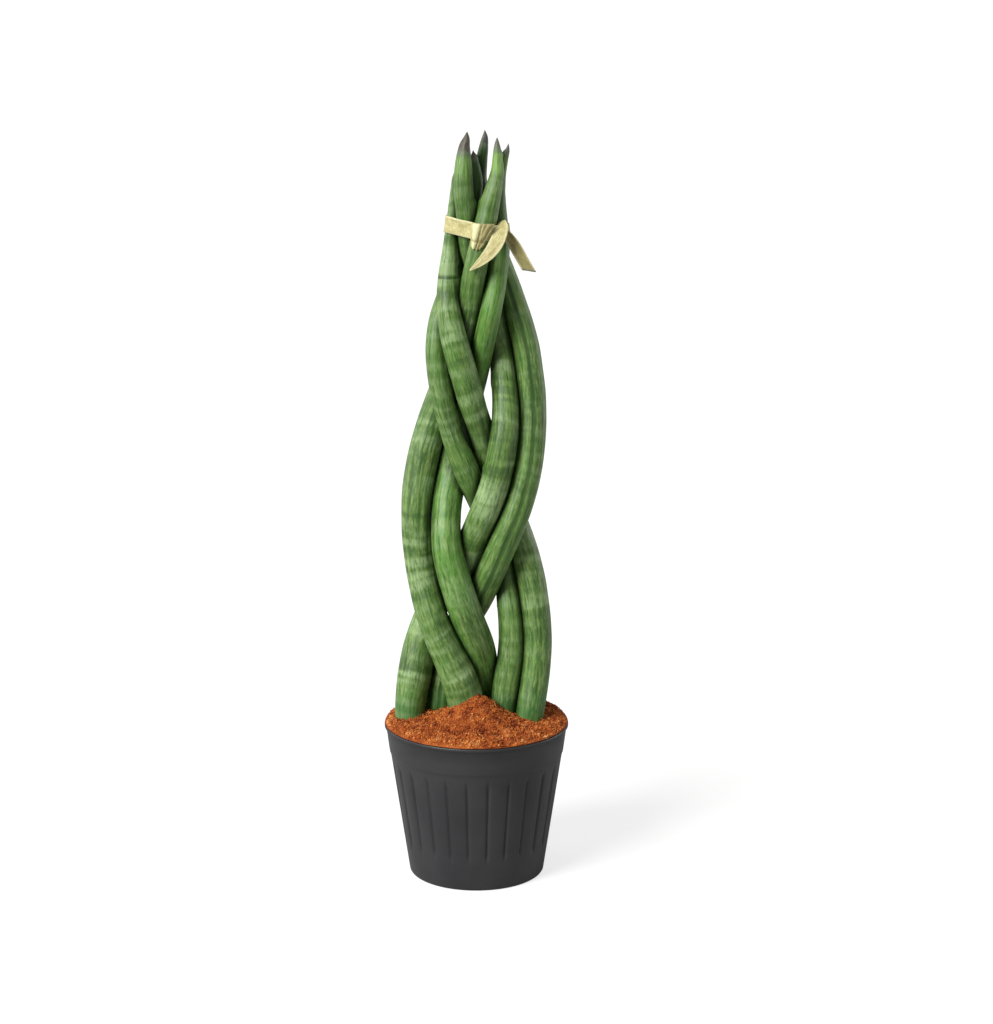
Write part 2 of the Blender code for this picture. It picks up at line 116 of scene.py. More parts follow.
class Maker:
    # adds nodes to a tree and joins them by name
    def __init__(self, tree):
        self.tree = tree

    def add(self, kind, **values):
        node = self.tree.nodes.new("ShaderNode" + kind)
        for key, value in values.items():
            if hasattr(node, key):
                setattr(node, key, value)
        return node

    def join(self, source, target):
        self.tree.links.new(source, target)

    def put(self, value, socket):
        if hasattr(value, "is_linked"):
            self.join(value, socket)
        else:
            socket.default_value = value

    def math(self, what, a, b=0.0, c=0.0):
        node = self.add("Math", operation=what)
        for value, socket in zip((a, b, c), node.inputs):
            self.put(value, socket)
        return node.outputs[0]

    def mapRange(self, value, low, high, toLow=0.0, toHigh=1.0):
        node = self.add("MapRange", interpolation_type="SMOOTHSTEP")
        given = {"Value": value, "From Min": low, "From Max": high, "To Min": toLow, "To Max": toHigh}
        for name, number in given.items():
            self.put(number, node.inputs[name])
        return node.outputs[0]

    def mix(self, factor, a, b):
        node = self.add("Mix", data_type="RGBA")
        self.put(factor, node.inputs[0])
        self.put(a, node.inputs[6])
        self.put(b, node.inputs[7])
        return node.outputs[2]

    def blend(self, factor, a, b):
        node = self.add("Mix", data_type="FLOAT")
        self.put(factor, node.inputs[0])
        self.put(a, node.inputs[2])
        self.put(b, node.inputs[3])
        return node.outputs[0]

    # x, y and z of a vector
    def parts(self, vector):
        node = self.add("SeparateXYZ")
        self.put(vector, node.inputs[0])
        return node.outputs

    def attribute(self, name, output="Vector"):
        return self.add("Attribute", attribute_name=name).outputs[output]

    def scaled(self, vector, scale):
        node = self.add("VectorMath", operation="MULTIPLY")
        self.put(vector, node.inputs[0])
        self.put(scale, node.inputs[1])
        return node.outputs[0]

    def moved(self, vector, offset):
        node = self.add("VectorMath", operation="ADD")
        self.put(vector, node.inputs[0])
        self.put(offset, node.inputs[1])
        return node.outputs[0]

    def noise(self, vector, scale=1.0, detail=2.0, roughness=0.5):
        node = self.add("TexNoise")
        given = {"Vector": vector, "Scale": scale, "Detail": detail, "Roughness": roughness}
        for name, value in given.items():
            self.put(value, node.inputs[name])
        return node.outputs["Fac"]

    # how far a tone goes over to a color, by a range of a mask and a share
    def tint(self, tone, color, mask, low, high, share=1.0):
        return self.mix(self.math("MULTIPLY", self.mapRange(mask, low, high), share), tone, color)


def newGroup(name, inputs, outputs):
    tree = bpy.data.node_groups.new(name, "ShaderNodeTree")
    for label, kind, value in inputs:
        socket = tree.interface.new_socket(name=label, in_out="INPUT", socket_type="NodeSocket" + kind)
        if value is not None:
            socket.default_value = value
    for label, kind in outputs:
        tree.interface.new_socket(name=label, in_out="OUTPUT", socket_type="NodeSocket" + kind)
    return tree, Maker(tree), tree.nodes.new("NodeGroupInput"), tree.nodes.new("NodeGroupOutput")


def newMaterial(name, roughness=0.5, specular=0.5, sheen=0.0):
    material = bpy.data.materials.new(name)
    material.use_nodes = True
    shader = material.node_tree.nodes["Principled BSDF"]
    shader.inputs["Roughness"].default_value = roughness
    shader.inputs["Specular IOR Level"].default_value = specular
    if sheen:
        shader.inputs["Sheen Weight"].default_value = sheen
    return material, Maker(material.node_tree), shader


def addBump(maker, shader, relief, strength, distance):
    bump = maker.add("Bump")
    bump.inputs["Strength"].default_value = strength
    bump.inputs["Distance"].default_value = distance
    maker.join(relief, bump.inputs["Height"])
    maker.join(bump.outputs[0], shader.inputs["Normal"])


def useGroup(maker, tree, values):
    node = maker.tree.nodes.new("ShaderNodeGroup")
    node.node_tree = tree
    for name, value in values.items():
        maker.put(value, node.inputs[name])
    return node


# camera, floor and light

studio = {
    "place": (0.012, -1.6, 0.608),
    "pitch": 13.57,
    "lens": 98.33,
    "floor": 30.0,
    "floorTones": ((0.34, 0.34, 0.34, 1), (0.36, 0.36, 0.355, 1)),
    "floorLift": 0.72,      # keeps the floor pale for the camera
    "sky": 0.24,
    "sun": 4.2,
    "sunFrom": (-1.15, -1.15, 1.1),
    "sunWidth": 30,
    # place and power; they aim at the lower leaves
    "lamps": {
        "fillLight": ((1.3, -0.7, 0.6), 1.2),
        "leftRim": ((-1.3, 0.55, 0.5), 5.4),
        "rightRim": ((1.3, 0.55, 0.5), 7.2),
    },
    "lampSize": 0.9,
    "lampTarget": (0, 0, 0.2),
}

camera = bpy.data.objects.new("camera", bpy.data.cameras.new("camera"))
camera.data.lens = studio["lens"]
camera.data.sensor_width = 36
camera.data.clip_end = 100
camera.location = studio["place"]
camera.rotation_euler = (math.radians(90 - studio["pitch"]), 0, 0)
scene.collection.objects.link(camera)
scene.camera = camera

floorMaterial, maker, shader = newMaterial("floorPaper", roughness=0.9, specular=0.1)
paper = maker.noise(maker.add("TexCoord").outputs["Object"], scale=3.0)
maker.join(maker.mix(paper, *studio["floorTones"]), shader.inputs["Base Color"])
shader.inputs["Emission Color"].default_value = (1, 1, 1, 1)
seen = maker.add("LightPath").outputs["Is Camera Ray"]
maker.join(maker.math("MULTIPLY", seen, studio["floorLift"]), shader.inputs["Emission Strength"])
bm = bmesh.new()
bmesh.ops.create_grid(bm, x_segments=2, y_segments=2, size=studio["floor"])
floor = newObject("floor", bm, floorMaterial, smooth=False)

world = bpy.data.worlds.new("studio")
scene.world = world
world.use_nodes = True
world.node_tree.nodes["Background"].inputs[0].default_value = (1, 1, 1, 1)
world.node_tree.nodes["Background"].inputs[1].default_value = studio["sky"]
scene.view_settings.view_transform = "Standard"


def aimed(lamp, place, target):
    lamp.location = place
    lamp.rotation_euler = (Vector(target) - Vector(place)).to_track_quat("-Z", "Y").to_euler()
    scene.collection.objects.link(lamp)


sun = bpy.data.objects.new("softSun", bpy.data.lights.new("softSun", "SUN"))
sun.data.energy = studio["sun"]
sun.data.angle = math.radians(studio["sunWidth"])
aimed(sun, studio["sunFrom"], (0, 0, 0))
for name, (place, power) in studio["lamps"].items():
    lamp = bpy.data.objects.new(name, bpy.data.lights.new(name, "AREA"))
    lamp.data.size = studio["lampSize"]
    lamp.data.energy = power
    aimed(lamp, place, studio["lampTarget"])
print("camera, floor and lights are in place")

# leaves

leafLook = {
    "sides": 48,
    "step": 1.7 * mm,
    "slice": 4.0 * mm,
    "fullness": 1.056,      # CAD rings have notches, so their mean radius is a bit small
    "plump": 0.34 * mm,     # neighbours press on each other
    "grooves": 9,
    "grooveDepth": 0.042,
    "grooveWidth": 0.13,
    "grooveShift": 0.4,
    "groovesWander": 0.22,
    "deepGroove": 1.6,
    "deepGrooveWidth": 0.16,
    "lumps": 0.016,
    "tipPart": 42 * mm,
    # how far from another leaf the painted shade between leaves reaches
    "touch": 4.4 * mm,
    # a gap under the first closes in a narrow ridge, one over the second stays open
    "press": (2.5 * mm, 3.9 * mm),
    # height, reach and by how many mm a gap may be wider there and still close
    "wider": {
        "leaf_4 leaf_6": (257, 14, 2.4),
        "leaf_5 leaf_6": (282, 8, 2.4),
        "leaf_4 leaf_5": (140, 16, -4.0),
    },
    "ridge": 0.55 * mm,
    "ridgeShare": 0.56,     # how far each of two leaves swells over the gap between them
}

# bands: strength at the foot, middle and top
# tip: length of the dry tip in mm, tipFresh: share of pale green under it
# deep: angle of a deep groove, ring: height of a dark ring
# fit: where the skin lies closer to its neighbours, in mm:
# height, reach, moves to the right and back, and swelling
leafKinds = {
    "leaf_1": {
        "bands": (0.85, 0.95, 0.35), "tip": 12, "tipColor": (0.058, 0.050, 0.032, 1), "tipFresh": 0.5,
        "shade": 0.0, "shadeTop": 0.28, "fresh": 0.1, "seed": 1.3, "turn": 0.4,
        "fit": [(190, 9, 2.4, 0, 1.9), (126, 13, 1.4, 0, 1.3), (354, 15, 1.8, 0, 0.9)],
    },
    "leaf_2": {
        "bands": (0.6, 0.35, 0.2), "tip": 7, "tipColor": (0.012, 0.016, 0.012, 1), "tipFresh": 0.0,
        "shade": 0.06, "shadeTop": 0.85, "fresh": 0.35, "seed": 4.1, "turn": 1.1, "deep": 4.78,
        "fit": [(156, 9, -2.0, 0.5, 1.1)],
    },
    "leaf_3": {
        "bands": (0.95, 0.75, 0.5), "tip": 6, "tipColor": (0.12, 0.12, 0.085, 1), "tipFresh": 0.9,
        "shade": 0.0, "shadeTop": 0.12, "fresh": 0.15, "seed": 7.7, "turn": 2.0,
        "fit": [],
    },
    "leaf_4": {
        "bands": (0.4, 0.35, 0.15), "tip": 5, "tipColor": (0.09, 0.095, 0.09, 1), "tipFresh": 0.6,
        "shade": 0.0, "shadeTop": 0.45, "fresh": 0.8, "seed": 2.9, "turn": 0.1,
        "fit": [(252, 11, 1.6, 2.2, 2.2), (286, 8, -0.8, 0, 0.8)],
    },
    "leaf_5": {
        "bands": (0.3, 0.45, 0.35), "tip": 4, "tipColor": (0.12, 0.07, 0.035, 1), "tipFresh": 0.0,
        "shade": 0.10, "shadeTop": 0.7, "fresh": 0.3, "seed": 5.5, "turn": 1.6,
        "fit": [
            (354, 9, 2.8, 1.0, 1.2), (251, 10, 1.6, 0, 1.8), (148, 20, 0.5, 0, 0.5), (116, 11, 0.3, 0, 0.5),
        ],
    },
    "leaf_6": {
        "bands": (0.35, 0.6, 0.9), "tip": 3, "tipColor": (0.10, 0.13, 0.07, 1), "tipFresh": 0.2,
        "shade": 0.0, "shadeTop": 0.1, "fresh": 0.2, "seed": 9.2, "turn": 0.8, "ring": 362 * mm,
        "fit": [(250, 10, -2.2, 1.5, 1.5)],
    },
}


# the CAD leaf is cut by level planes: each cut gives a point of the middle line and a radius
def leafStations(name):
    bm = bmesh.new()
    bm.from_mesh(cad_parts[name].data)
    bmesh.ops.remove_doubles(bm, verts=bm.verts, dist=0.00001)
    low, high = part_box(name)
    count = round((high.z - low.z) / leafLook["slice"])
    stations = []
    for k in range(count + 1):
        level = low.z + (high.z - low.z) * (k + 0.002) / (count + 0.004)
        pieces = []
        for face in bm.faces:
            ends = []
            for edge in face.edges:
                a, b = edge.verts[0].co, edge.verts[1].co
                if (a.z > level) != (b.z > level):
                    ends.append(a.lerp(b, (level - a.z) / (b.z - a.z)))
            if len(ends) == 2:
                pieces.append(ends)
        whole = sum((a - b).length for a, b in pieces)
        middle = Vector((0, 0, 0))
        for a, b in pieces:
            middle += (a + b) / 2 * ((a - b).length / whole)
        area = sum((a - middle).cross(b - middle).length / 2 for a, b in pieces)
        stations.append([middle, area])
    bm.free()
    points = [s[0] for s in stations]
    radii = []
    for k, (_, area) in enumerate(stations):
        way = (points[min(k + 1, count)] - points[max(k - 1, 0)]).normalized()
        radii.append(math.sqrt(area * way.z / math.pi))
    line = [Vector((p.x, p.y, p.z, r)) for p, r in zip(points, radii)]
    tipFoot = high.z - leafLook["tipPart"]
    for _ in range(3):      # both ends and the tip keep their own shape
        line = [b if k in (0, count) or b.z > tipFoot else (line[k - 1] + 2 * b + line[k + 1]) / 4
                for k, b in enumerate(line)]
    for spot in line:
        spot.w = spot.w * leafLook["fullness"] + leafLook["plump"] * ease(2.5 * mm, 5 * mm, spot.w)
        for height, reach, right, back, swell in leafKinds[name]["fit"]:
            near = math.exp(-((spot.z / mm - height) / reach) ** 2 / 2)
            spot.x += right * mm * near
            spot.y += back * mm * near
            spot.w += swell * mm * near
    return line


# middle of a leaf and its level radius at a height
def leafAt(name, height):
    stations = paths[name]
    at = (height - stations[0].z) / (stations[-1].z - stations[0].z) * (len(stations) - 1)
    if not 0 <= at <= len(stations) - 1:
        return None
    i = min(int(at), len(stations) - 2)
    a, b = stations[i], stations[i + 1]
    here = a.lerp(b, at - i)
    return here.x, here.y, here.w / (b.xyz - a.xyz).normalized().z


# how near a point on one leaf is to the other leaves, and how far it swells to meet a close one
def neighbours(name, place, here, level):
    least, swell = 1.0, 0.0
    for other in leafKinds:
        there = leafAt(other, place.z) if other != name else None
        if there:
            x, y, radius = there
            gap = math.hypot(place.x - x, place.y - y) - radius
            narrowest = math.hypot(here.x - x, here.y - y) - radius - level
            least = min(least, gap)
            if narrowest > 0:
                height, reach, more = leafLook["wider"].get(" ".join(sorted((name, other))), (0, 1, 0))
                close = narrowest - more * mm * math.exp(-((place.z / mm - height) / reach) ** 4)
                near = hill(gap - narrowest, leafLook["ridge"]) * (1 - ease(*leafLook["press"], close))
                swell = max(swell, leafLook["ridgeShare"] * narrowest * near)
    return least, swell


def grooveAt(angle, middle, width):
    return hill(math.atan2(math.sin(angle - middle), math.cos(angle - middle)), width)


def leafPiece(name, kind):
    stations = paths[name]
    length = sum((b.xyz - a.xyz).length for a, b in zip(stations, stations[1:]))
    seed = kind["seed"]

    def shape(u, v):
        here = through(stations, v)
        ahead, behind = through(stations, min(v + 0.002, 1.0)), through(stations, max(v - 0.002, 0.0))
        along = (ahead.xyz - behind.xyz).normalized()
        side = Vector((0, 1, 0)).cross(along).normalized()
        front = along.cross(side)
        angle = 2 * math.pi * u
        run = v * length
        wander = noise.noise(Vector((seed, run * 9, 0))) * leafLook["groovesWander"]
        wave = 0.0
        for k in range(leafLook["grooves"]):
            shift = leafLook["grooveShift"] * noise.noise(Vector((seed, k * 3.1, 7)))
            middle = 2 * math.pi * (k + shift) / leafLook["grooves"] + kind["turn"]
            depth = max(0.0, 0.55 + 0.9 * noise.noise(Vector((seed, k * 5.3, run * 14))))
            wave += grooveAt(angle - wander, middle, leafLook["grooveWidth"]) * depth
        if "deep" in kind:
            deep = grooveAt(angle - wander, kind["deep"], leafLook["deepGrooveWidth"])
            wave += deep * leafLook["deepGroove"]
        lumpSpot = Vector((math.cos(angle) * 0.8 + seed, math.sin(angle) * 0.8, run * 75))
        lump = noise.noise(lumpSpot) * leafLook["lumps"]
        radius = here.w * (1 - leafLook["grooveDepth"] * wave + lump)
        closed = v < 0.0001 or v > 0.9999
        if closed:
            radius = 0.0
        way = side * math.cos(angle) + front * math.sin(angle)
        gap, swell = neighbours(name, here.xyz + way * radius, here, here.w / along.z)
        if not closed:
            radius += swell
        skin = Vector((math.cos(angle) * 0.008, math.sin(angle) * 0.008, run))
        # marks: groove depth, for painted shade along the grooves, and nearness to other leaves, for painted
        # shade between them
        return here.xyz + way * radius, skin, Vector((min(wave, 1.5), 1 - ease(0, leafLook["touch"], gap), 0))

    bm = bmesh.new()
    shapedGrid(bm, leafLook["sides"], round(length / leafLook["step"]), shape)
    bmesh.ops.recalc_face_normals(bm, faces=bm.faces)
    leaf = newObject(name + "_skin", bm, leafMaterial(name, kind, length))
    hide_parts(name)
    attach(leaf, "root")
    print("leaf", name, "is", round(length / mm), "mm long")


leafTones = {
    "deep": (0.026, 0.070, 0.013, 1),
    "mid": (0.100, 0.205, 0.041, 1),
    "fresh": (0.088, 0.250, 0.030, 1),
    "olive": (0.222, 0.318, 0.084, 1),
    "band": (0.288, 0.415, 0.180, 1),
    # groove: dark green of the streaks, dashes and ring, also used for painted shade along the grooves
    "groove": (0.020, 0.055, 0.009, 1),
    # painted shade between leaves
    "touch": (0.006, 0.020, 0.003, 1),
    "foot": (0.016, 0.105, 0.022, 1),
    "young": (0.235, 0.420, 0.090, 1),
    "withered": (0.110, 0.135, 0.085, 1),
    "dryPale": (0.16, 0.155, 0.115, 1),
    "dryDark": (0.02, 0.014, 0.008, 1),
}


def leafSkinGroup():
    tree, m, given, out = newGroup("leafSkin", [
        ("Skin", "Vector", None), ("Marks", "Vector", None), ("Height", "Float", 0.0), ("Seed", "Float", 0.0),
        ("Bands Low", "Float", 0.5), ("Bands Middle", "Float", 0.5), ("Bands Top", "Float", 0.5),
        ("Shade", "Float", 0.0), ("Shade Top", "Float", 0.0), ("Fresh", "Float", 0.3),
        ("Ring", "Float", -1.0), ("Tip From", "Float", 1.0), ("Tip Fresh", "Float", 0.0),
        ("Tip Color", "Color", (0.3, 0.2, 0.1, 1)),
    ], [("Color", "Color"), ("Roughness", "Float"), ("Relief", "Float")])
    i = given.outputs
    t = leafTones
    place = m.add("CombineXYZ")
    m.put(i["Seed"], place.inputs[0])
    m.put(i["Seed"], place.inputs[1])
    skin = m.moved(i["Skin"], place.outputs[0])
    run = m.parts(i["Skin"])[2]
    groove, touch, _ = m.parts(i["Marks"])
    # long streaks, short dashes and fine grain along the leaf
    streak = m.noise(m.scaled(skin, (820, 820, 62)), detail=3.0, roughness=0.6)
    dash = m.noise(m.scaled(skin, (900, 900, 200)), detail=2.5, roughness=0.65)
    grain = m.noise(m.scaled(skin, (1900, 1900, 420)), detail=2.0)
    cloud = m.noise(m.scaled(skin, (70, 70, 28)), detail=2.0)
    # soft cross bands that reach round the leaf, in loose clusters, frayed by the dashes
    sway = m.noise(m.scaled(skin, (60, 60, 20)), detail=0.0)
    shift = m.add("CombineXYZ")
    fray = m.math("MULTIPLY", m.math("SUBTRACT", dash, 0.5), 0.0030)
    m.put(m.math("MULTIPLY_ADD", m.math("SUBTRACT", sway, 0.5), 0.006, fray), shift.inputs[2])
    banded = m.moved(skin, shift.outputs[0])
    thin = m.noise(m.scaled(banded, (22, 22, 185)), detail=1.0, roughness=0.4)
    wide = m.noise(m.scaled(banded, (24, 24, 55)), detail=1.0)
    bands = m.math("MULTIPLY", m.mapRange(thin, 0.44, 0.66), m.mapRange(wide, 0.30, 0.60, 0.25, 1.0))
    bands = m.math("MULTIPLY", bands, m.mapRange(dash, 0.30, 0.60, 0.40, 1.0))
    low = m.blend(m.mapRange(i["Height"], 0.12, 0.22), i["Bands Low"], i["Bands Middle"])
    strength = m.blend(m.mapRange(i["Height"], 0.27, 0.37), low, i["Bands Top"])
    bands = m.math("MULTIPLY", bands, strength)
    hollow = m.math("MULTIPLY", m.math("MULTIPLY", m.mapRange(thin, 0.47, 0.33), strength), 0.50)
    # ground green with its streaks and dashes
    tone = m.mix(m.mapRange(cloud, 0.32, 0.66), m.mix(0.5, t["deep"], t["mid"]), t["mid"])
    tone = m.tint(tone, t["fresh"], cloud, 0.3, 0.6, i["Fresh"])
    tone = m.tint(tone, t["olive"], streak, 0.48, 0.70, 0.65)
    tone = m.tint(tone, t["olive"], dash, 0.50, 0.68, 0.65)
    tone = m.mix(bands, tone, t["band"])
    tone = m.mix(hollow, tone, t["deep"])
    tone = m.tint(tone, t["groove"], streak, 0.48, 0.30, 0.60)
    tone = m.tint(tone, t["groove"], dash, 0.46, 0.30, 0.42)
    tone = m.tint(tone, t["band"], grain, 0.60, 0.76, 0.30)
    # painted shade: the tone darkens along the grooves of the shape
    tone = m.tint(tone, t["groove"], groove, 0.25, 1.3, 0.75)
    # a dark ring with a pale band above it
    above = m.math("SUBTRACT", i["Height"], i["Ring"])
    pale = m.math("ABSOLUTE", m.math("SUBTRACT", above, 0.005))
    tone = m.tint(tone, t["band"], pale, 0.0042, 0.0026, 0.6)
    tone = m.tint(tone, t["groove"], m.math("ABSOLUTE", above), 0.0011, 0.0003, 0.8)
    # painted shade: the leaf darkens towards deep green by Shade all along, and by Shade Top more over its
    # top, where it lies behind other leaves
    shade = m.math("MULTIPLY_ADD", m.mapRange(i["Height"], 0.375, 0.402), i["Shade Top"], i["Shade"])
    tone = m.mix(shade, tone, t["deep"])
    # wet dark green where the leaf leaves the soil, and painted shade on the flanks near other leaves, where
    # shade falls between them
    foot = m.math("MULTIPLY_ADD", m.math("SUBTRACT", dash, 0.5), 0.010, i["Height"])
    tone = m.tint(tone, t["foot"], foot, 0.118, 0.103, 0.50)
    tone = m.mix(m.math("MULTIPLY", touch, 0.80), tone, t["touch"])
    # dry tip with a ragged border, withered just below it and young green under that
    ragged = m.math("MULTIPLY_ADD", m.math("SUBTRACT", streak, 0.5), 0.009, run)
    past = m.math("SUBTRACT", ragged, i["Tip From"])
    young = m.math("MULTIPLY", m.mapRange(past, -0.020, -0.010), i["Tip Fresh"])
    tone = m.tint(tone, t["young"], streak, 0.36, 0.58, young)
    tone = m.tint(tone, t["withered"], past, -0.0045, -0.0015, 0.8)
    dry = m.mix(m.mapRange(dash, 0.44, 0.56), i["Tip Color"], m.mix(0.6, i["Tip Color"], t["dryPale"]))
    dry = m.tint(dry, t["dryDark"], grain, 0.56, 0.70)
    tone = m.mix(m.mapRange(past, -0.0008, 0.0008), tone, dry)
    m.put(tone, out.inputs["Color"])
    m.put(m.mapRange(streak, 0.3, 0.7, 0.40, 0.54), out.inputs["Roughness"])
    fine = m.math("MULTIPLY_ADD", dash, 0.5, streak)
    m.put(m.math("MULTIPLY_ADD", bands, 0.35, fine), out.inputs["Relief"])
    return tree


leafSkin = leafSkinGroup()


def leafMaterial(name, kind, length):
    material, m, shader = newMaterial("skin_" + name, specular=0.42)
    low, middle, top = kind["bands"]
    group = useGroup(m, leafSkin, {
        "Skin": m.attribute("skin"), "Marks": m.attribute("marks"),
        "Height": m.parts(m.add("TexCoord").outputs["Object"])[2], "Seed": kind["seed"],
        "Bands Low": low, "Bands Middle": middle, "Bands Top": top,
        "Shade": kind["shade"], "Shade Top": kind["shadeTop"], "Fresh": kind["fresh"],
        "Ring": kind.get("ring", -1.0), "Tip From": length - kind["tip"] * mm,
        "Tip Fresh": kind["tipFresh"], "Tip Color": kind["tipColor"],
    })
    m.join(group.outputs["Color"], shader.inputs["Base Color"])
    m.join(group.outputs["Roughness"], shader.inputs["Roughness"])
    addBump(m, shader, group.outputs["Relief"], 0.4, 0.4 * mm)
    return material


paths = {name: leafStations(name) for name in leafKinds}
for name, kind in leafKinds.items():
    leafPiece(name, kind)

# soil

soilLook = {
    "crumbs": 9000,
    "crumbBatch": 200,      # small batches keep the bmesh operators quick
    "smallest": 0.26 * mm,
    "largest": 1.05 * mm,
    "crumbTone": (0.44, 0.13),
    "fibers": 1800,
    "fiberBatch": 100,
    "fiberLength": (1.6 * mm, 5.0 * mm),
    "fiberRadius": (0.10 * mm, 0.24 * mm),
    "fiberTone": (0.57, 0.17),
    "edge": 54.4 * mm,
    "crumbEdge": 54.8 * mm,
    "fiberEdge": 54.2 * mm,
    "lowest": 91.0 * mm,
    "rimMiddle": 52.95 * mm,    # the coir spills over the pot's lip
    "rimWidth": 1.75 * mm,
    "rimHeight": 93.55 * mm,
    "rimLift": 0.45 * mm,
    "seed": 11,
}

# place on the ramp and color, from wet dust to dry fibers
coirTones = [
    (0.0, (0.060, 0.011, 0.004, 1)),
    (0.28, (0.22, 0.042, 0.010, 1)),
    (0.5, (0.42, 0.100, 0.018, 1)),
    (0.78, (0.62, 0.220, 0.050, 1)),
    (1.0, (0.78, 0.45, 0.21, 1)),
]


def coirGroup():
    tree, m, given, out = newGroup("coir", [
        ("Place", "Vector", None), ("Tone", "Float", 0.5),
    ], [("Color", "Color"), ("Roughness", "Float"), ("Relief", "Float")])
    i = given.outputs
    coarse = m.noise(m.scaled(i["Place"], (160, 160, 160)), detail=3.0)
    grain = m.noise(m.scaled(i["Place"], (1400, 1400, 1400)), detail=3.0, roughness=0.7)
    tone = m.math("MULTIPLY_ADD", m.math("SUBTRACT", coarse, 0.5), 0.9, i["Tone"])
    tone = m.math("MULTIPLY_ADD", m.math("SUBTRACT", grain, 0.5), 0.45, tone)
    ramp = m.add("ValToRGB")
    stops = ramp.color_ramp.elements
    first, *between, last = coirTones
    stops[0].position, stops[0].color = first
    stops[1].position, stops[1].color = last
    for position, color in between:
        stops.new(position).color = color
    m.put(tone, ramp.inputs[0])
    m.put(ramp.outputs[0], out.inputs["Color"])
    m.put(m.mapRange(grain, 0.3, 0.7, 0.75, 0.95), out.inputs["Roughness"])
    m.put(grain, out.inputs["Relief"])
    return tree


coir = coirGroup()


# the tone of loose pieces is in their attribute
def coirMaterial(name, loose):
    material, m, shader = newMaterial(name, specular=0.2)
    place = m.add("TexCoord").outputs["Object"]
    group = useGroup(m, coir, {"Place": place, "Tone": m.attribute("tone", "Fac") if loose else 0.42})
    m.join(group.outputs["Color"], shader.inputs["Base Color"])
    m.join(group.outputs["Roughness"], shader.inputs["Roughness"])
    addBump(m, shader, group.outputs["Relief"], 0.8, 0.8 * mm)
    return material


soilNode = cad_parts["soil"]
soilNode.data.materials.clear()
soilNode.data.materials.append(coirMaterial("coirBed", False))


# coir that lies on the lip, all the way round
def rimShape(u, v):
    angle, turn = 2 * math.pi * u, 2 * math.pi * v
    rough = noise.noise(Vector((math.cos(angle) * 14, math.sin(angle) * 14, v * 2)))
    reach = soilLook["rimMiddle"] + soilLook["rimWidth"] * math.cos(turn)
    lift = soilLook["rimLift"] * math.sin(turn) * (1 + 0.7 * rough if turn < math.pi else 1)
    return [Vector((reach * math.sin(angle), reach * math.cos(angle), soilLook["rimHeight"] + lift))]


bm = bmesh.new()
shapedGrid(bm, 240, 8, rimShape)
bmesh.ops.recalc_face_normals(bm, faces=bm.faces)
ground = bm.copy()
coirRim = newObject("coirRim", bm, coirMaterial("coirSpill", False))
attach(coirRim, "root")
ground.from_mesh(soilNode.data)
soilTree = BVHTree.FromBMesh(ground)
ground.free()
dice = random.Random(soilLook["seed"])


# a place on top of the heap that isn't inside a leaf, with the slope there
def soilSpot(margin):
    while True:
        angle = dice.uniform(0, 2 * math.pi)
        reach = soilLook["edge"] * math.sqrt(dice.uniform(0, 1))
        x, y = reach * math.cos(angle), reach * math.sin(angle)
        hit, slope, _, _ = soilTree.ray_cast(Vector((x, y, 0.3)), Vector((0, 0, -1)))
        if hit is None or hit.z < soilLook["lowest"]:
            continue
        free = True
        for name in leafKinds:
            lx, ly, radius = leafAt(name, hit.z + 1 * mm)
            if math.hypot(x - lx, y - ly) < radius + margin:
                free = False
        if free:
            return hit, slope


def addBatch(whole, batch):
    mesh = bpy.data.meshes.new("batch")
    batch.to_mesh(mesh)
    batch.free()
    whole.from_mesh(mesh)
    bpy.data.meshes.remove(mesh)


def diceTone(average, spread, most, more=0.0):
    return min(max(dice.gauss(average, spread) + more, 0.05), most)


def addCrumb(batch, tone):
    size = soilLook["smallest"] + (soilLook["largest"] - soilLook["smallest"]) * dice.random() ** 2.4
    spot, slope = soilSpot(size * 0.8)
    turn = Euler((dice.uniform(0, 6.3), dice.uniform(0, 6.3), dice.uniform(0, 6.3))).to_matrix().to_4x4()
    squash = Matrix.Diagonal((size * dice.uniform(0.8, 1.5), size * dice.uniform(0.6, 1.1),
                              size * dice.uniform(0.5, 0.9), 1))
    lift = spot + slope * size * dice.uniform(-0.1, 0.5)
    reach = math.hypot(lift.x, lift.y)
    if reach + size * 1.5 > soilLook["crumbEdge"]:
        lift.x *= (soilLook["crumbEdge"] - size * 1.5) / reach
        lift.y *= (soilLook["crumbEdge"] - size * 1.5) / reach
    place = Matrix.Translation(lift) @ turn @ squash
    made = bmesh.ops.create_icosphere(batch, subdivisions=1, radius=1.0, matrix=place)["verts"]
    drier = 0.12 * ease(40 * mm, 52 * mm, math.hypot(spot.x, spot.y))
    value = diceTone(*soilLook["crumbTone"], 0.98, drier)
    for vert in made:
        vert[tone] = value
        vert.co += noise.noise_vector(vert.co * 2300) * size * 0.35


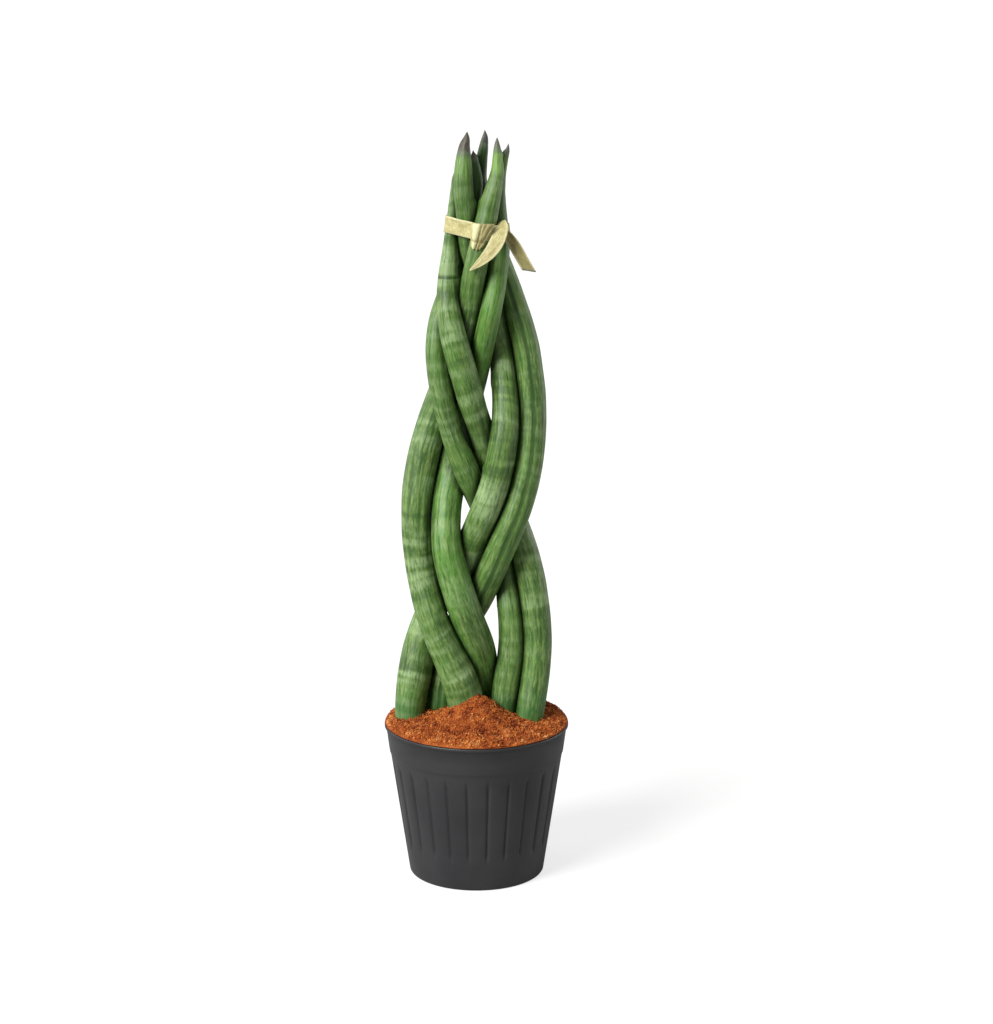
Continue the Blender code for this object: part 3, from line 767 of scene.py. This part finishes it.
def addFiber(batch, tone):
    spot, slope = soilSpot(1.0 * mm)
    heading = dice.uniform(0, 2 * math.pi)
    flat = Vector((math.cos(heading), math.sin(heading), 0))
    flat = (flat - slope * flat.dot(slope)).normalized()
    reach = dice.uniform(*soilLook["fiberLength"])
    thick = dice.uniform(*soilLook["fiberRadius"])
    bend = slope.cross(flat) * reach * dice.uniform(-0.3, 0.3)
    lift = slope * dice.uniform(0.3 * mm, 1.2 * mm)
    tip = slope * reach * dice.uniform(-0.15, 0.35)
    half = flat * reach / 2
    curve = [spot + lift * 0.6 - half, spot + lift + bend, spot + lift * 0.8 + half + tip]
    if any(math.hypot(p.x, p.y) > soilLook["fiberEdge"] for p in curve):
        return

    def strand(u, v):
        here = through(curve, v)
        way = (through(curve, min(v + 0.05, 1)) - through(curve, max(v - 0.05, 0))).normalized()
        side = way.cross(Vector((0, 0, 1))).normalized()
        up = side.cross(way)
        angle = 2 * math.pi * u
        width = thick * (1 - 0.6 * abs(2 * v - 1)) if 0.001 < v < 0.999 else 0.0
        return here + (side * math.cos(angle) + up * math.sin(angle)) * width, Vector((u, v, 0))

    before = set(batch.verts)
    shapedGrid(batch, 3, 5, strand)
    value = diceTone(*soilLook["fiberTone"], 1.0)
    for vert in batch.verts:
        if vert not in before:
            vert[tone] = value


def strewn(count, batchSize, addOne):
    whole = bmesh.new()
    whole.verts.layers.float.new("tone")
    for _ in range(count // batchSize):
        batch = bmesh.new()
        tone = batch.verts.layers.float.new("tone")
        for _ in range(batchSize):
            addOne(batch, tone)
        addBatch(whole, batch)
    return whole


crumbs = strewn(soilLook["crumbs"], soilLook["crumbBatch"], addCrumb)
fibers = strewn(soilLook["fibers"], soilLook["fiberBatch"], addFiber)
crumbMaterial = coirMaterial("coirCrumbs", True)
for name, bm in (("crumbs", crumbs), ("fibers", fibers)):
    piece = newObject(name, bm, crumbMaterial, smooth=False)
    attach(piece, "root")
print("soil is strewn")

# pot

potLook = {
    "height": 93.0 * mm,
    "footRadius": 40.2 * mm,
    "rimRadius": 54.2 * mm,
    "lipRadius": 55.0 * mm,
    "lipHeight": 1.8 * mm,
    "lipRound": 0.5 * mm,
    "wall": 1.9 * mm,
    "floor": 2.4 * mm,
    "floorRound": 3.0 * mm,
    "recess": 2.0 * mm,
    "footRound": 2.0 * mm,
    "footRing": 5.0 * mm,
    "collar": 17.0 * mm,
    "collarStep": 0.5 * mm,
    "lobes": 25,
    "lobeTurn": math.radians(80.5),
    "valley": 1.35 * mm,
    "valleyWidth": 0.13,
    "valleyUneven": 0.35,
    "lobeLow": 17.0 * mm,
    "lobeHigh": 73.0 * mm,
    "lobeFade": 7.0 * mm,
    "lobeRows": 40,
    "steps": 500,
    "drains": 6,
    "drainRadius": 4.0 * mm,
    "drainCircle": 24.0 * mm,
    "tones": ((0.023, 0.023, 0.025, 1), (0.034, 0.033, 0.035, 1)),
    "scuffTone": (0.07, 0.068, 0.065, 1),
}


def potRadius(height):
    p = potLook
    return p["footRadius"] + (p["rimRadius"] - p["footRadius"]) * height / p["height"]


# the section from the middle of the floor up the inside, over the lip and down to the middle of the underside
def potOutline():
    p = potLook
    floorTop = p["recess"] + p["floor"]
    lipFoot = p["height"] - p["lipHeight"]
    collarFoot = p["height"] - p["collar"]
    rimInside = p["rimRadius"] - p["wall"]

    def inner(z):
        return potRadius(z) - p["wall"]

    # a quarter turn from level to upright, in degrees
    def quarter(size, turns):
        return [(size * math.sin(math.radians(a)), size * (1 - math.cos(math.radians(a)))) for a in turns]

    bend = p["floorRound"]
    points = [(0, floorTop), (inner(floorTop) - bend, floorTop)]
    points += [(inner(floorTop + bend) - bend + x, floorTop + z) for x, z in quarter(bend, (30, 60, 90))]
    points += [(inner(50 * mm), 50 * mm), (rimInside, lipFoot)]
    points += [(rimInside + 0.2 * mm, p["height"] - 0.3 * mm), (rimInside + 0.6 * mm, p["height"])]
    bend = p["lipRound"]
    points += [(p["lipRadius"] - bend + x, p["height"] - z) for x, z in quarter(bend, (0, 30, 60, 90))]
    points += [
        (p["lipRadius"], lipFoot + 0.2 * mm),
        (p["lipRadius"] - 0.2 * mm, lipFoot),
        (potRadius(lipFoot - 0.5 * mm) + 0.15 * mm, lipFoot - 0.5 * mm),
        (potRadius(collarFoot + 6 * mm) + p["collarStep"] * 0.7, collarFoot + 6 * mm),
        (potRadius(collarFoot) + p["collarStep"], collarFoot + 0.5 * mm),
        (potRadius(collarFoot) + p["collarStep"] * 0.8, collarFoot),
        (potRadius(collarFoot), collarFoot - 0.6 * mm),
    ]
    for k in range(p["lobeRows"] + 1):
        z = p["lobeHigh"] + (p["lobeLow"] - p["lobeHigh"]) * k / p["lobeRows"]
        points.append((potRadius(z), z))
    points.append((potRadius(10 * mm), 10 * mm))
    bend = p["footRound"]
    for turn in (0, 22.5, 45, 67.5, 90):
        a = math.radians(turn)
        points.append((potRadius(bend) - bend * (1 - math.cos(a)), bend * (1 - math.sin(a))))
    inside = p["footRadius"] - bend - p["footRing"]
    points += [(inside, 0), (inside - 0.8 * mm, p["recess"]), (0, p["recess"])]
    return points


# how deep the valley between two lobes is
def lobeDip(angle, height):
    p = potLook
    rise = ease(0, 1, (height - p["lobeLow"]) / p["lobeFade"])
    fall = ease(0, 1, (p["lobeHigh"] - height) / p["lobeFade"])
    phase = (angle - p["lobeTurn"]) * p["lobes"] / (2 * math.pi)
    across = abs(phase - round(phase)) * 2
    uneven = 1 + p["valleyUneven"] * noise.noise(Vector((round(phase) * 2.7, height * 45, 0)))
    line = hill(across, p["valleyWidth"])
    return p["valley"] * uneven * (0.72 * line + 0.28 * (1 - across) ** 2) * rise * fall


bm = bmesh.new()
line = [bm.verts.new((x, 0, z)) for x, z in potOutline()]
for a, b in zip(line, line[1:]):
    bm.edges.new((a, b))
bmesh.ops.spin(bm, geom=bm.verts[:] + bm.edges[:], cent=(0, 0, 0), axis=(0, 0, 1), dvec=(0, 0, 0),
               angle=2 * math.pi, steps=potLook["steps"], use_merge=True, use_duplicate=False)
bmesh.ops.remove_doubles(bm, verts=bm.verts, dist=0.00002)
bmesh.ops.recalc_face_normals(bm, faces=bm.faces)
for vert in bm.verts:
    radius = math.hypot(vert.co.x, vert.co.y)
    if radius > potRadius(vert.co.z) - 0.1 * mm:
        angle = math.atan2(vert.co.x, -vert.co.y)
        scale = (radius - lobeDip(angle, vert.co.z)) / radius
        vert.co.x *= scale
        vert.co.y *= scale


def potMaterial():
    material, m, shader = newMaterial("charcoalPlastic", roughness=0.42, specular=0.5)
    place = m.add("TexCoord").outputs["Object"]
    cloud = m.noise(m.scaled(place, (25, 25, 25)), detail=4.0)
    grain = m.noise(m.scaled(place, (2600, 2600, 2600)), detail=2.0)
    scuff = m.noise(m.scaled(place, (70, 70, 500)), detail=5.0, roughness=0.7)
    tone = m.mix(m.mapRange(cloud, 0.3, 0.7), *potLook["tones"])
    tone = m.tint(tone, potLook["scuffTone"], scuff, 0.62, 0.78, 0.35)
    m.join(tone, shader.inputs["Base Color"])
    rough = m.math("MULTIPLY_ADD", m.math("SUBTRACT", cloud, 0.5), 0.2, 0.40)
    m.join(m.math("MULTIPLY_ADD", m.math("SUBTRACT", grain, 0.5), 0.12, rough), shader.inputs["Roughness"])
    addBump(m, shader, grain, 0.25, 0.08 * mm)
    return material


pot = newObject("potShell", bm, potMaterial())
drills = bmesh.new()
for k in range(potLook["drains"]):
    angle = 2 * math.pi * k / potLook["drains"]
    spot = Vector((math.cos(angle), math.sin(angle), 0)) * potLook["drainCircle"] + Vector((0, 0, 3 * mm))
    bmesh.ops.create_cone(drills, cap_ends=True, segments=32, depth=10 * mm, matrix=Matrix.Translation(spot),
                          radius1=potLook["drainRadius"], radius2=potLook["drainRadius"])
drill = newObject("drill", drills)
cut = pot.modifiers.new("drains", "BOOLEAN")
cut.operation = "DIFFERENCE"
cut.solver = "EXACT"
cut.object = drill
settle(pot)
bpy.data.objects.remove(drill)
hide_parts("pot")
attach(pot, "root")
print("pot is turned")

# ribbon

ribbonLook = {
    "width": 10.0 * mm,
    "thick": 0.45 * mm,
    "hem": 0.25 * mm,
    "height": 390.0 * mm,
    "slope": -0.13,
    "gap": 0.5 * mm,
    "hullSteps": 120,
    "bandSteps": 160,
    "bandRows": 8,
    "tailGrid": (44, 12),
    "knotGrid": (64, 26),
    "knotTop": 394.6,         # heights and x in mm; the knot's right edge slants down to the left
    "knotBottom": 379.2,
    "knotLeft": -2.3,
    "knotRight": (11.2, 3.2),
    "knotFront": -20.4,
    # x, y, height, half width in mm
    "frontTail": [
        (15.4, -9.0, 394.2, 2.2), (15.3, -13.5, 391.6, 3.6), (13.7, -17.5, 387.0, 4.2),
        (11.1, -20.0, 382.0, 4.1), (7.4, -21.2, 377.3, 3.4), (2.4, -20.8, 372.6, 2.2),
        (-3.2, -19.6, 368.0, 0.35),
    ],
    "sideTail": [
        (13.5, -9.3, 389.6, 2.0), (17.6, -11, 387.4, 2.6), (21.3, -11.5, 382.8, 3.2),
        (24.6, -12, 377.4, 3.3), (28.0, -12.5, 371.4, 3.2), (32.2, -13, 364.6, 2.9),
    ],
}


ribbonTones = {
    "dull": (0.46, 0.41, 0.17, 1),
    "plain": (0.60, 0.55, 0.26, 1),
    "darkThread": (0.30, 0.24, 0.07, 1),
    "paleThread": (0.84, 0.80, 0.46, 1),
    "fleck": (0.24, 0.19, 0.06, 1),
    # the last four are painted light: shade and shine darken and light the folds and tails, then a highlight
    # along the edges and a shadow on the side tail's end
    "shade": (0.20, 0.17, 0.045, 1),
    "shine": (0.90, 0.88, 0.48, 1),
    "edge": (0.86, 0.83, 0.50, 1),
    "end": (0.16, 0.16, 0.12, 1),
}


# the loop that a taut band makes round the leaves at one height
def bandPoint(angle, rise, gap):
    way = Vector((math.cos(angle), math.sin(angle), 0))
    best = None
    for name in leafKinds:
        level = ribbonLook["height"] + rise
        x = 0.0
        for _ in range(3):
            x, y, radius = leafAt(name, level)
            level = ribbonLook["height"] + rise + ribbonLook["slope"] * x
        reach = x * way.x + y * way.y + radius
        if best is None or reach > best[0]:
            best = (reach, x, y, radius)
    _, x, y, radius = best
    return Vector((x, y, 0)) + way * (radius + gap)


def bandLoop(rise, gap, count):
    steps = ribbonLook["hullSteps"]
    loop = [bandPoint(2 * math.pi * k / steps, rise, gap) for k in range(steps)]
    lengths = [0.0]
    for a, b in zip(loop, loop[1:] + loop[:1]):
        lengths.append(lengths[-1] + (b - a).length)
    whole = lengths[-1]
    out = []
    i = 0
    for k in range(count):
        at = whole * k / count
        while lengths[i + 1] < at:
            i += 1
        f = (at - lengths[i]) / (lengths[i + 1] - lengths[i])
        out.append(loop[i].lerp(loop[(i + 1) % steps], f))
    for _ in range(2):
        out = [(a + 2 * b + c) / 4 for a, b, c in zip(out[-1:] + out[:-1], out, out[1:] + out[:1])]
    return out, whole


ribbon = bmesh.new()
half = ribbonLook["width"] / 2 - ribbonLook["hem"]
rings = []
for k in range(ribbonLook["bandRows"] + 1):
    rise = -half + 2 * half * k / ribbonLook["bandRows"]
    loop, bandLength = bandLoop(rise, ribbonLook["gap"], ribbonLook["bandSteps"])
    rings.append((rise, loop))


def bandShape(u, v):
    rise, loop = rings[round(v * ribbonLook["bandRows"])]
    spot = loop[round(u * ribbonLook["bandSteps"]) % ribbonLook["bandSteps"]]
    nearKnot = hill(spot.x - 5 * mm, 8 * mm) if spot.y < -8 * mm else 0.0
    outward = Vector((spot.x, spot.y, 0)).normalized()
    wave = noise.noise(Vector((u * 9, v * 1.3, 3))) * 0.35 * mm
    ripple = math.sin(v * 17 + 0.5 + 6 * u) * nearKnot * 0.25 * mm
    place = spot + outward * (abs(wave) + abs(ripple))
    place.z = ribbonLook["height"] + rise * (1 - 0.10 * nearKnot) + ribbonLook["slope"] * spot.x
    place.z += noise.noise(Vector((u * 7, 1.7, v))) * 0.3 * mm
    # marks: a painted highlight along the band's edges
    marks = Vector((0.1, ease(0.82, 1.0, abs(2 * v - 1)), 0))
    return place, Vector((u * bandLength, v * ribbonLook["width"], 0)), marks


shapedGrid(ribbon, ribbonLook["bandSteps"], ribbonLook["bandRows"], bandShape)


# a tail: roll twists it, cup bows it across, curl lifts its edges, slant cuts its end off at an angle and
# gives that end a painted shadow, tone paints shade and light over it
def stripShape(knots, roll, cup, curl, slant, tone):
    points = [Vector((x, y, z, w)) * mm for x, y, z, w in knots]

    def shape(u, v):
        side = 2 * v - 1
        t = min(max(u * (1 - slant * (1 - side) / 2 * u ** 3), 0.0), 1.0)
        here = through(points, t)
        along = (through(points, min(t + 0.02, 1)).xyz - through(points, max(t - 0.02, 0)).xyz).normalized()
        across = along.cross(Vector((0.25, 1.0, 0.0))).normalized()
        face = along.cross(across).normalized()
        if face.y > 0:
            face = -face
        turn = roll * t
        lift = cup * here.w * (1 - side * side) + curl * here.w * abs(side) ** 3
        lift += noise.noise(Vector((u * 4, v * 2.3, roll))) * 0.35 * mm
        across = across * math.cos(turn) + face * math.sin(turn)
        # painted shadow on the end of a slanted tail; tone, with some noise, paints shade where it is below
        # zero and light where it is above; the edges get a painted highlight
        tipShadow = ease(0.93, 1.0, u) if slant else 0.0
        streak = tone + 0.25 * noise.noise(Vector((u * 5, v * 3, 1)))
        marks = Vector((streak, ease(0.70, 1.0, abs(side)) * (1 - tipShadow), tipShadow))
        place = here.xyz + across * here.w * side + face * lift
        return place, Vector((u * 0.04, v * ribbonLook["width"], 1)), marks

    return shape


frontTail = stripShape(ribbonLook["frontTail"], roll=0.2, cup=0.30, curl=0.28, slant=0.0, tone=-0.05)
sideTail = stripShape(ribbonLook["sideTail"], roll=-0.3, cup=-0.2, curl=0.15, slant=0.13, tone=-0.75)
shapedGrid(ribbon, *ribbonLook["tailGrid"], frontTail, weld=0)
shapedGrid(ribbon, *ribbonLook["tailGrid"], sideTail, weld=0)


# the knot is a strip folded over the band: an upright fold at the left with a painted highlight, a folded
# part beside it with painted shade
def knotShape(u, v):
    r = ribbonLook
    angle = 2 * math.pi * u
    rise, depth = math.sin(angle), math.cos(angle)
    middle, tall = (r["knotTop"] + r["knotBottom"]) / 2, (r["knotTop"] - r["knotBottom"]) / 2
    z = middle + tall * rise * (abs(rise) + 0.0001) ** -0.25
    hem = 2.2 * (1 - v) ** 2 + 1.6 * ease(0.55, 1.0, v) + 0.5 * math.sin(v * 21)
    z += ease(0, -1, rise) * hem - 0.5 * ease(0, 1, rise) * v
    drop = (r["knotTop"] - z) / (r["knotTop"] - r["knotBottom"])
    right = r["knotRight"][0] + (r["knotRight"][1] - r["knotRight"][0]) * drop
    x = r["knotLeft"] - 0.5 * drop + (right - r["knotLeft"] + 0.5 * drop) * v
    bright = hill(v - 0.22, 0.17)
    crease = hill(v - 0.47, 0.05)
    pleat = math.sin(v * 24 + drop * 7 + 2 * noise.noise(Vector((v * 4, drop * 3, 5)))) * ease(0.5, 0.65, v)
    cross = hill(drop - 0.62 - 0.1 * v, 0.05)
    deep = 1.3 + 1.0 * bright - 0.7 * crease + 0.30 * pleat - 0.6 * cross - 0.5 * ease(0.8, 1.0, v)
    y = r["knotFront"] + 0.14 * abs(x - 3) + (1.9 if depth < 0 else 1.9 - deep * abs(depth) ** 0.5)
    # painted highlight on the upright fold; painted shade in the crease, over the pleats, at the crossing and
    # over the folded part
    tone = 0.95 * bright * (1 - 0.5 * cross) - 0.9 * crease
    tone -= 0.75 * ease(0.5, 0.6, v) + 0.25 * pleat + 0.5 * cross
    place = Vector((x, y, z)) * mm
    return place, Vector((u * 0.03, v * r["width"], 2)), Vector((tone, 0, 0))


shapedGrid(ribbon, *ribbonLook["knotGrid"], knotShape)
bmesh.ops.recalc_face_normals(ribbon, faces=ribbon.faces)


def ribbonMaterial():
    material, m, shader = newMaterial("paleRibbon", roughness=0.5, specular=0.4, sheen=0.2)
    tones = ribbonTones
    skin = m.attribute("skin")
    shine, edge, end = m.parts(m.attribute("marks"))
    fiber = m.noise(m.scaled(skin, (130, 3000, 1)), detail=3.0, roughness=0.6)
    cloud = m.noise(m.scaled(skin, (240, 420, 1)), detail=2.0)
    fleck = m.noise(m.scaled(skin, (900, 1500, 1)), detail=2.0)
    tone = m.mix(m.mapRange(cloud, 0.35, 0.65), tones["dull"], tones["plain"])
    tone = m.tint(tone, tones["darkThread"], fiber, 0.52, 0.32, 0.55)
    tone = m.tint(tone, tones["paleThread"], fiber, 0.55, 0.72, 0.55)
    tone = m.tint(tone, tones["fleck"], fleck, 0.50, 0.34, 0.6)
    # painted shade and painted highlight from the marks: folds and tails darken where the mark is below zero
    # and light where above, the edges get a highlight, the side tail's end a shadow
    tone = m.tint(tone, tones["shade"], shine, -0.05, -1.0, 0.72)
    tone = m.tint(tone, tones["shine"], shine, 0.1, 0.9, 0.85)
    tone = m.mix(m.math("MULTIPLY", edge, 0.5), tone, tones["edge"])
    tone = m.mix(end, tone, tones["end"])
    m.join(tone, shader.inputs["Base Color"])
    m.join(m.mapRange(fiber, 0.3, 0.7, 0.42, 0.62), shader.inputs["Roughness"])
    addBump(m, shader, m.math("MULTIPLY_ADD", fleck, 0.6, fiber), 0.6, 0.25 * mm)
    return material


band = newObject("ribbonStrip", ribbon, ribbonMaterial())
thick = band.modifiers.new("thick", "SOLIDIFY")
thick.thickness = ribbonLook["thick"]
thick.offset = 0.0
settle(band)
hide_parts("ribbon")
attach(band, "root")
